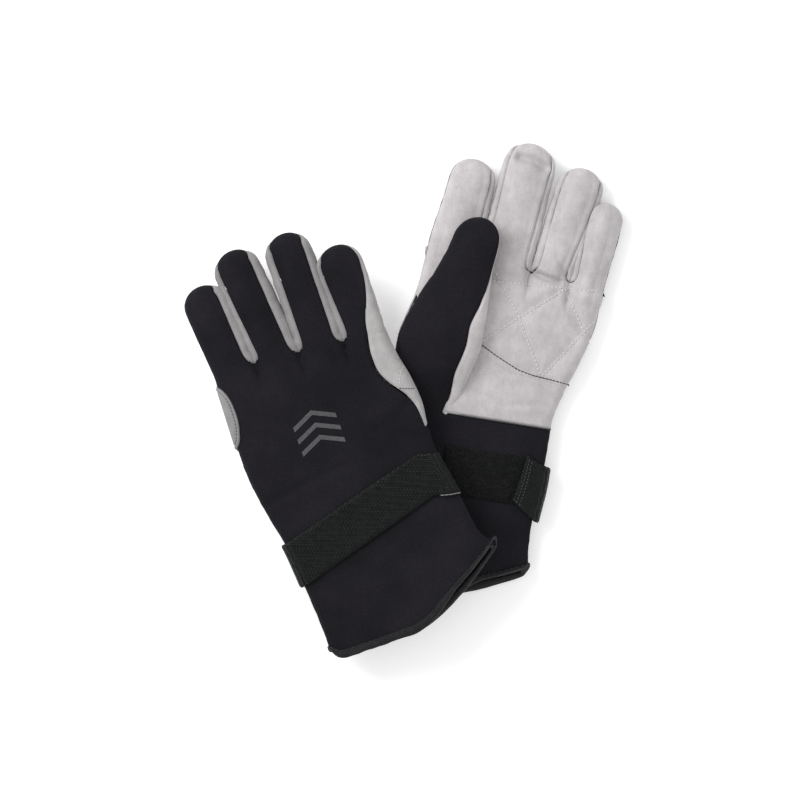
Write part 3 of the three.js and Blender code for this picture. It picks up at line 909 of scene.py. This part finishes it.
def add_strap(g):
    s = g["strap"]
    peel = 1.13

    def lift(length):
        return STRAP_GAP + WEBBING + s["slack"] * ease((length - (length[-1] - 12)) / 9)

    grid, _ = band_grid(g, (0.03, peel), s["low"], s["high"], lift, 0.92)
    piece(g, "strap", turn_in(grid, ("first", "start", "end"), 0.55), WEBBING, "webbing",
          nodes=["strap"], rests_on=[f"{g['name']}.cuff_panel"])

    def climb(length):
        return STRAP_GAP + WEBBING + mix(s["slack"], HOOK_RISE, ease(length / 7))

    lengthwise = not g["back_up"]
    rib = 0.55 if lengthwise else 0.65
    tab, _ = band_grid(g, (peel, s["tab_end"]), s["low"], s["high"], climb, rib,
                       skew=s["skew"], lengthwise=lengthwise)
    hinge = tab[tab.shape[0] // 2, 0]
    ahead = tab[tab.shape[0] // 2, -1] - hinge
    bend = (hinge, hinge + unit(ahead) * 7)
    piece(g, "strap_tab", turn_in(tab, ("last", "start", "end"), 0.55), WEBBING, "webbing",
          nodes=["strap_tab"], body="tab", bend=bend, held="folded", rests_on=[f"{g['name']}.loop_pad"])
    hook_from = mix(peel, s["tab_end"], 0.55)
    hook, _ = band_grid(g, (hook_from, s["tab_end"] - 0.008), s["low"], s["high"],
                        lambda length: np.full_like(length, STRAP_GAP + WEBBING), 0.0, 2.0, 1.0)
    fuzz = 0.2 * noise(hook, 1.4, 3)
    hook = hook + grid_normals(hook) * fuzz[..., None]
    piece(g, "hook_pad", hook, 1.0, "pad", nodes=["hook_pad"], body="tab", held="laid",
          rests_on=[f"{g['name']}.strap_tab"])
    pad_first, pad_last, pad_low, pad_high = s["pad"]
    around, along = hand_grid(g, between(pad_first, pad_last), (pad_low, pad_high), 1.0, ALL_SEAMS)
    pad = hand_point(g, around, along, 1.6)
    across, up = arc(pad, 1), arc(pad, 0)
    border = np.minimum(np.minimum(across, across[:, -1:] - across), np.minimum(up, up[-1:] - up))
    pile = ease((border - 2.6) / 1.4)
    loops = pile * (0.32 * noise(pad, 1.8, 7) + 0.2 * noise(pad, 5.0, 8) + 0.35)
    pad = pad + grid_normals(pad) * loops[..., None]
    piece(g, "loop_pad", turn_in(pad, ALL_SEAMS, 0.9), 1.2, "pad", nodes=["loop_pad"], held="laid",
          rests_on=[f"{g['name']}.cuff_panel"])
    if not g["back_up"]:
        run = arc(tab, 1)[tab.shape[0] // 2]
        for n, back in enumerate((3.0, 5.4)):
            column = int(np.searchsorted(run, run[-1] - back))
            stitches(g, f"tab_stitches_{n + 1}", tab[3:-3, column], grid_normals(tab)[3:-3, column],
                     "thread_grey", 1.9, 0.9, 0.3, body="tab")


# ---------------------------------------------------------------- stitches
def resample(points, pitch):
    run = np.concatenate([[0], np.cumsum(np.linalg.norm(np.diff(points, axis=0), axis=-1))])
    count = max(int(run[-1] / pitch), 1)
    at = np.linspace(0, run[-1], count + 1)
    return np.stack([np.interp(at, run, points[:, n]) for n in range(points.shape[1])], axis=1)


def stitches(g, name, points, normals, look, length, gap, radius, body="hand"):
    """A row of separate stitches along a line of points lying on the fabric."""
    pitch = length + gap
    both = resample(np.concatenate([points, normals], axis=1), pitch)
    share = length / pitch
    # Rows of share of the stitch's length, share of its radius, height in radii.
    stations = [
        (0.0, 0.35, -0.6),
        (0.18, 0.9, 0.1),
        (0.5, 1.0, 0.35),
        (0.82, 0.9, 0.1),
        (1.0, 0.35, -0.6),
    ]
    sides = 6
    verts, faces = [], []
    for a, b in zip(both[:-1], both[1:]):
        p, q, up = a[:3], mix(a[:3], b[:3], share), a[3:]
        forward = q - p
        across = np.cross(forward, up)
        norm = np.linalg.norm(across)
        if norm < 1e-6:
            continue
        across = across / norm
        up = np.cross(across, forward / np.linalg.norm(forward))
        first = len(verts)
        for at, size, rise in stations:
            centre = mix(p, q, at) + up * radius * rise
            for k in range(sides):
                turn = 2 * math.pi * k / sides
                verts.append(centre + radius * size * (across * math.cos(turn) + up * math.sin(turn)))
        for j in range(len(stations) - 1):
            for k in range(sides):
                m = (k + 1) % sides
                faces.append((first + j * sides + k, first + j * sides + m,
                              first + (j + 1) * sides + m, first + (j + 1) * sides + k))
        last = first + (len(stations) - 1) * sides
        for k in range(1, sides - 1):
            faces.append((first, first + k + 1, first + k))
            faces.append((last, last + k, last + k + 1))
    mesh = bpy.data.meshes.new(name)
    mesh.from_pydata((np.array(verts) / 1000).tolist(), [], faces)
    mesh.shade_smooth()
    obj = bpy.data.objects.new(f"{g['name']}.{name}", mesh)
    bpy.context.scene.collection.objects.link(obj)
    obj.data.materials.append(LOOKS[look])
    finish_piece(g, obj, body=body)
    return obj


def top_stitches(g, name, path, look, length, gap, radius, out):
    """Stitches along a line drawn on the hand's uppermost side."""
    line = resample(np.array(path, float), 1.0)
    p = on_top(g, line[:, 0], line[:, 1], out)
    lifted = on_top(g, line[:, 0], line[:, 1], out + 1.0)
    up = lifted - p
    return stitches(g, name, p, unit(up), look, length, gap, radius)


def hem_stitches(g):
    """Dashes round the outside of the bound hem."""
    hem = g["outline"][0][0]
    around = np.linspace(0.04, 1.96, 900)
    along = hem + (BINDING_WIDTH - 1.0) * hem_stretch(g, around)
    p = hand_point(g, around, along, 0.95)
    up = hand_point(g, around, along, 1.95) - p
    stitches(g, "hem_stitches", p, unit(up),
             "thread_black", 2.4, 1.5, 0.36)


# ---------------------------------------------------------------- fingers
def finger_rows(f):
    nose = f["width"][1] * 0.5
    body_end = f["length"] - nose
    root = np.arange(0, 9, 0.9)
    body = np.linspace(9, body_end, int((body_end - 9) / 1.4))
    tip = body_end + nose * np.sin(np.linspace(0, math.pi / 2, 18))[1:]
    return np.concatenate([root, body, tip])


def side_inset(g, f, side, s):
    """How far a seam lies inside the outline on one side of a finger, in mm, seen from above."""
    share = s / f["length"]
    if f["web"][side]:
        crotch = np.sqrt(1 - np.clip(1 - s / 8, 0, 1) ** 2)
        at_tip = f.get("walls", (0.55, 0.55))[side]
        narrowing = mix(1, at_tip, ease(share / 0.85)) * (1 - ease((share - 0.86) / 0.1))
        return np.maximum(g["roll_width"] * crotch * narrowing, 0.03)
    if g["back_up"] and side == 1:
        return np.maximum(curve(g["index_inset"], s)[0], 0.03)
    return np.full_like(s, 0.03)


def under_edge(f, side, s):
    """How far under a finger its side wall reaches, in `around`."""
    if not f["web"][side]:
        return np.full_like(s, EDGE)
    return WALL_REACH * SIDE * mix(1, 0.06, ease((s / f["length"] - 0.55) / 0.4))


def finger_panel(g, f, name, rows, first, last, thickness, look, seams, nodes, bend,
                 pitch=1.3, bulge=0.0):
    middle = len(rows) // 2
    across = np.linspace(first[middle], last[middle], 40) - face_turn(g, 0)
    probe = finger_point(g, f, across, rows[middle])
    width = float(np.sum(np.linalg.norm(np.diff(probe, axis=0), axis=-1)))
    c = steps(width, pitch)
    turn = first[:, None] + (last - first)[:, None] * c[None, :]
    s = np.broadcast_to(rows[:, None], turn.shape)
    grid = finger_point(g, f, turn - face_turn(g, 0), s)
    if bulge:
        puff = bulge * np.sin(math.pi * c)[None, :] * np.clip((last - first) / 0.12, 0, 1)[:, None]
        pucker = (0.35 + 0.5 * np.exp(-rows / 7))[:, None] * noise(
            np.stack([s, 25 * turn, np.zeros_like(s)], -1), 4.2, 11 + int(f["base"]) % 7)
        swell = puff + 1.3 * pucker * np.sin(math.pi * c)[None, :]
        grid = grid + grid_normals(grid) * swell[..., None]
    nose = np.clip((f["length"] - s) / (0.45 * f["width"][1]), 0, 1)
    grid = turn_in(grid, seams, 0.9, ease(nose * 1.6))
    return piece(g, f"{f['name']}_{name}", grid, thickness * mix(0.06, 1, nose), look,
                 nodes=nodes, body=f["name"], bend=bend)


def add_finger(g, f):
    rows = finger_rows(f)
    root = place(g, f["root"][0], f["root"][1], 7.0)
    ahead = place(g, f["root"][0] + f["dir"][0] * 24, f["root"][1] + f["dir"][1] * 24, 7.0)
    bend = (root, ahead)
    top_right = seam_turn(side_inset(g, f, 1, rows), f["width"][0], FINGER_HEIGHT)
    top_left = seam_turn(side_inset(g, f, 0, rows), f["width"][0], FINGER_HEIGHT)
    low_right, low_left = under_edge(f, 1, rows), under_edge(f, 0, rows)
    if not f["web"][1]:
        low_right = -top_right
    if not f["web"][0]:
        low_left = -top_left
    top_name, low_name = ("back", "front") if g["back_up"] else ("front", "back")
    # The upper glove's finger fronts, facing down, take the darker copy of the suede: painted shade.
    looks = {
        "back": ("neoprene", FINGER_NEOPRENE),
        "front": ("suede_painted_shade" if g["back_up"] else "suede", SUEDE),
    }
    for name, first, last, pitch in (
        (top_name, top_right, 1 - top_left, 1.2),
        (low_name, 1 + low_left, 2 - low_right, 2.2),
    ):
        look, thickness = looks[name]
        finger_panel(g, f, name, rows, first, last, thickness, look, ("first", "last"),
                     [f"{f['name']}_{name}"], bend, pitch)
    wall_rows = rows[rows < 0.965 * f["length"]]
    count = len(wall_rows)
    # The upper glove's walls between its fingers take the darkest copy of the suede: painted shade in the
    # gaps; the lower glove's walls keep the plain suede.
    wall_look = "suede_painted_deep_shade" if g["back_up"] else "suede"
    thumbward = 1 if g["back_up"] else 0
    for side in (0, 1):
        if not f["web"][side]:
            continue
        wall = "wall_thumbward" if side == thumbward else "wall_outward"
        if side == 1:
            first, last = -low_right[:count], top_right[:count]
        else:
            first, last = 1 - top_left[:count], 1 + low_left[:count]
        finger_panel(g, f, wall, wall_rows, first, last, SUEDE, wall_look, ("first", "last"),
                     [f"{f['name']}_{wall}"], bend, 0.8, g["wall_bulge"])


# ---------------------------------------------------------------- thumbs
def thumb_flat(g, turn, y, out=0.0):
    rows = g["thumb_rows"]
    tip = g["thumb_tip"]
    left, right, low, high, crown = curve(rows, y)
    nose = np.clip((y - (tip - THUMB_NOSE)) / THUMB_NOSE, 0, 1)
    shrink = np.maximum(np.sqrt(np.maximum(1 - nose ** 2.2, 0)), 0.04)
    half = ((right - left) / 2 + out) * shrink
    middle = (low + high) / 2
    rise = ((high - low) / 2 + out) * shrink ** 0.55
    sx, z = flat_tube(turn, half, middle - rise, middle + rise, crown * shrink)
    x = (left + right) / 2 + sx
    bend = 0.45 * noise(np.stack([x, y, 0 * x], -1), 22, 21) * ease((z - middle) / 4)
    return x, y, z + bend * shrink


def add_thumb(g):
    start, tip = g["thumb_rows"][0][0], g["thumb_tip"]
    nose = THUMB_NOSE
    rows = np.concatenate([
        np.linspace(start, tip - nose, int((tip - nose - start) / 1.4)),
        tip - nose + nose * np.sin(np.linspace(0, math.pi / 2, 18))[1:],
    ])
    left, right, low, high, _ = curve(g["thumb_rows"], rows)
    inset = np.maximum(curve(g["thumb_inset"], rows)[0], 0.03)
    radius = np.minimum((high - low) / 2, 0.45 * (right - left))
    seam = seam_turn(inset, right - left, 2 * radius)
    x0, y0, z0 = g["thumb_hinge"]
    root = place(g, x0, y0, z0)
    ahead = place(g, x0 + g["thumb_way"][0] * 26, y0 + g["thumb_way"][1] * 26, z0)
    back = (seam + EDGE, 1 - EDGE + 0 * seam)
    front = (1 + EDGE + 0 * seam, 2 + seam - EDGE)
    if g["back_up"]:
        # Folded under the palm, with its back facing down.
        back, front = (1 + EDGE + 0 * seam, 2 - EDGE + 0 * seam), (EDGE + 0 * seam, 1 - EDGE + 0 * seam)
    for name, (first, last), look, thickness in (
        ("thumb_back", back, "neoprene", FINGER_NEOPRENE),
        ("thumb_front", front, "suede", SUEDE),
    ):
        c = steps(45.0, 1.3)
        turn = first[:, None] + (last - first)[:, None] * c[None, :]
        y = np.broadcast_to(rows[:, None], turn.shape)
        grid = place(g, *thumb_flat(g, turn, y))
        near = np.clip((tip - y) / nose, 0, 1)
        grid = turn_in(grid, ("first", "last"), 0.9, ease(near * 1.6))
        piece(g, name, grid, thickness * mix(0.06, 1, near), look, nodes=[name],
              body="thumb", bend=(root, ahead))


# ---------------------------------------------------------------- print
def add_mark(g):
    """Plain printed chevrons on the back of the hand."""
    centre_x, centre_y = -21.0, 127.0
    for n in range(3):
        c = np.linspace(-1, 1, 41)
        v = np.linspace(0, 1, 7)
        x = centre_x + c * 15 + 0 * v[:, None]
        y = centre_y - 9 + 8.5 * n + 7 * (1 - np.abs(c)) + 3.2 * v[:, None]
        grid = on_top(g, x, y, 0.28)[:, ::-1]
        piece(g, f"print_{n + 1}", grid, 0.5, "print", held="laid", rests_on=["upper.back_panel"])


# ---------------------------------------------------------------- the gloves' own sewing lines
UPPER.update(
    wedge=[[109, 46.9], [125, 45.7], [138, 40.5], [148, 34], [158, 29.5], [170, 28.6], [184, 31]],
    wedge_from=1.88,
    index_inset=[[0, 11.2], [8, 10.0], [16, 7.6], [26, 4.0], [38, 1.8], [60, 0.4], [80, 0.05]],
    roll_width=4.5,
    wall_bulge=1.7,
    guard=(135, 174.5, 8.4, 90),
    guard_out=1.5,
    guard_end=1.1,
    strap=dict(
        low=lambda x: np.minimum(39 + 0.27 * (x + 62), 65 - 0.3 * (x - 38)),
        high=lambda x: np.minimum(68 + 0.25 * (x + 67), 95 - 0.4 * (x - 41)),
        tab_end=1.26,
        skew=0.0,
        slack=0.0,
        pad=(1.2, 1.62, 36, 68),
    ),
    thumb_rows=[
        [100, -15, 15, -8.0, -2.4, 0],
        [112, -18, 14, -10.4, -2.1, 0],
        [145, -31, 1, -10.5, -2.1, 0],
        [165, -39, -10, -10.5, -2.1, 0],
        [181, -45, -17, -10.5, -2.1, 0],
    ],
    thumb_inset=[[100, 0.1], [181, 0.1]],
    thumb_tip=181,
    thumb_hinge=(-3.0, 110.0, -6.0),
    thumb_way=(-0.367, 0.93),
)
LOWER.update(
    wedge=[[135, 0.05], [151, 0.13], [168, 0.24], [186, 0.27], [211, 0.22]],
    wedge_from=1.97,
    roll_width=3.4,
    wall_bulge=1.3,
    guard=(171, 204, 3.9, 70),
    guard_out=0.7,
    guard_end=0.975,
    patch_bottom=[[-45, 162], [-30, 158], [-15, 150], [0, 143.5], [10, 141.5], [22, 140.5], [46, 138]],
    patch_top=[[-45, 201.5], [-24, 203], [15, 205.5], [46, 207]],
    quilting=[
        [(-30, 212), (-5, 180), (17, 141)],
        [(-36, 152), (-5, 180), (24, 206)],
        [(20, 206), (40, 175)],
        [(15, 142), (48, 191)],
    ],
    strap=dict(
        low=lambda x: 48 + np.minimum(0.78 * (27 - x), 14),
        high=lambda x: 84 + np.minimum(0.45 * (29 - x), 8),
        tab_end=1.212,
        skew=0.4,
        slack=2.2,
        pad=(1.16, 1.6, 57.5, 89.5),
    ),
    thumb_rows=[
        [102, -76, -46, 12.6, 14.4, 0.2],
        [118, -80, -37.5, 13.4, 17.4, 1.0],
        [140, -82.3, -30.5, 14.6, 24.5, 1.8],
        [160, -81.5, -26.5, 15.8, 28.5, 2],
        [182, -74.0, -26.5, 17.2, 29.6, 2],
        [205, -63.5, -27, 18.0, 30, 2],
        [225, -57, -25.3, 18.4, 30, 2],
        [241, -54.5, -25.5, 18.4, 30, 2],
    ],
    thumb_inset=[
        [102, 2.0],
        [118, 5.0],
        [140, 10.0],
        [165, 10.0],
        [185, 5.0],
        [200, 0.8],
        [212, 0.05],
        [241, 0.05],
    ],
    thumb_tip=241,
    thumb_hinge=(-60.5, 151.0, 17.0),
    thumb_way=(0.217, 0.976),
)

for glove in (LOWER, UPPER):
    set_up(glove)
    add_hand(glove)
    add_strap(glove)
    for finger in glove["fingers"]:
        add_finger(glove, finger)
    add_thumb(glove)
    hem_stitches(glove)
add_mark(UPPER)

for n, line in enumerate([
    [(-25, 206.5), (-5, 180), (15, 144)],
    [(-31, 157), (-5, 180), (22, 203.5)],
    [(22, 203.5), (38, 178)],
    [(16, 144.5), (44.5, 186)],
    [(-29, 201), (15, 203.5), (44, 205.2)],
]):
    top_stitches(LOWER, f"quilt_stitches_{n + 1}", line, "thread_light", 1.7, 1.1, 0.42, 0.55)
guard_line = guard_outline(UPPER, 2.6)[3:-3]
guard_edge = hand_flat(UPPER, np.ones(len(guard_line)), guard_line[:, 1], 0.0)
guard_path = np.stack([guard_edge[0] + guard_line[:, 0], guard_edge[1]], axis=1)
patch_path = [(-36, 162), (-30, 160), (-15, 152.2), (0, 145.6), (10, 143.6), (22, 142.6), (42, 140.5)]
# Rows of glove, name, line, look, length, gap, radius, height over the fabric.
for row in [
    (UPPER, "wedge_stitches", [(39, 139.3), (44, 137.2), (48, 135.8)], "thread_dark", 1.4, 0.3, 0.3, 0.05),
    (UPPER, "guard_stitches", guard_path, "thread_dark", 1.5, 0.7, 0.26, 1.35),
    (UPPER, "strap_edge", [(41.5, 64.2), (46.5, 62.8), (51.6, 61.4)], "thread_pale", 2.6, -0.25, 0.45, 3.0),
    (LOWER, "patch_stitches", patch_path, "thread_dark", 2.6, -0.25, 0.42, 0.5),
    (LOWER, "wrist_line", [(-34, 110.2), (-5, 110.2), (27.2, 110.2)], "thread_dark", 2.6, -0.25, 0.45, 0.3),
    (UPPER, "wedge_tacks", [(45.6, 152.0), (42, 146.5), (39.8, 140.8)], "thread_light", 1.2, 1.0, 0.27, 0.1),
]:
    top_stitches(*row)


# ---------------------------------------------------------------- floor, light and camera
def add_stage():
    bpy.ops.mesh.primitive_plane_add(size=6, location=(0, 0, -0.0005))
    floor = bpy.context.object
    floor.name = "floor"
    look = Looks("floor")
    look.shader.inputs["Base Color"].default_value = (0.9, 0.9, 0.9, 1)
    look.shader.inputs["Roughness"].default_value = 1.0
    look.shader.inputs["Emission Color"].default_value = (1, 1, 1, 1)
    look.shader.inputs["Emission Strength"].default_value = 0.3
    floor.data.materials.append(look.material)
    world = bpy.data.worlds.new("studio")
    bpy.context.scene.world = world
    world.use_nodes = True
    world.node_tree.nodes["Background"].inputs["Color"].default_value = (1, 1, 1, 1)
    world.node_tree.nodes["Background"].inputs["Strength"].default_value = 0.70
    for name, place_at, size, power in (
        ("key", (-1.0, 0.8, 1.0), 0.9, 19),
        ("fill", (1.0, -0.5, 1.2), 1.2, 4),
    ):
        light = bpy.data.lights.new(name, "AREA")
        light.size = size
        light.energy = power
        lamp = bpy.data.objects.new(name, light)
        lamp.location = place_at
        lamp.rotation_euler = (-Vector(place_at)).to_track_quat("-Z", "Y").to_euler()
        bpy.context.scene.collection.objects.link(lamp)


def add_camera():
    height = 3.2
    view_width = 0.528
    camera = bpy.data.cameras.new("camera")
    camera.sensor_width = 36
    camera.lens = 36 * (height - 0.015) / view_width
    eye = bpy.data.objects.new("camera", camera)
    eye.location = (-0.0035, 0.0020, height)
    bpy.context.scene.collection.objects.link(eye)
    bpy.context.scene.camera = eye
    bpy.context.scene.view_settings.view_transform = "Standard"


add_stage()
add_camera()
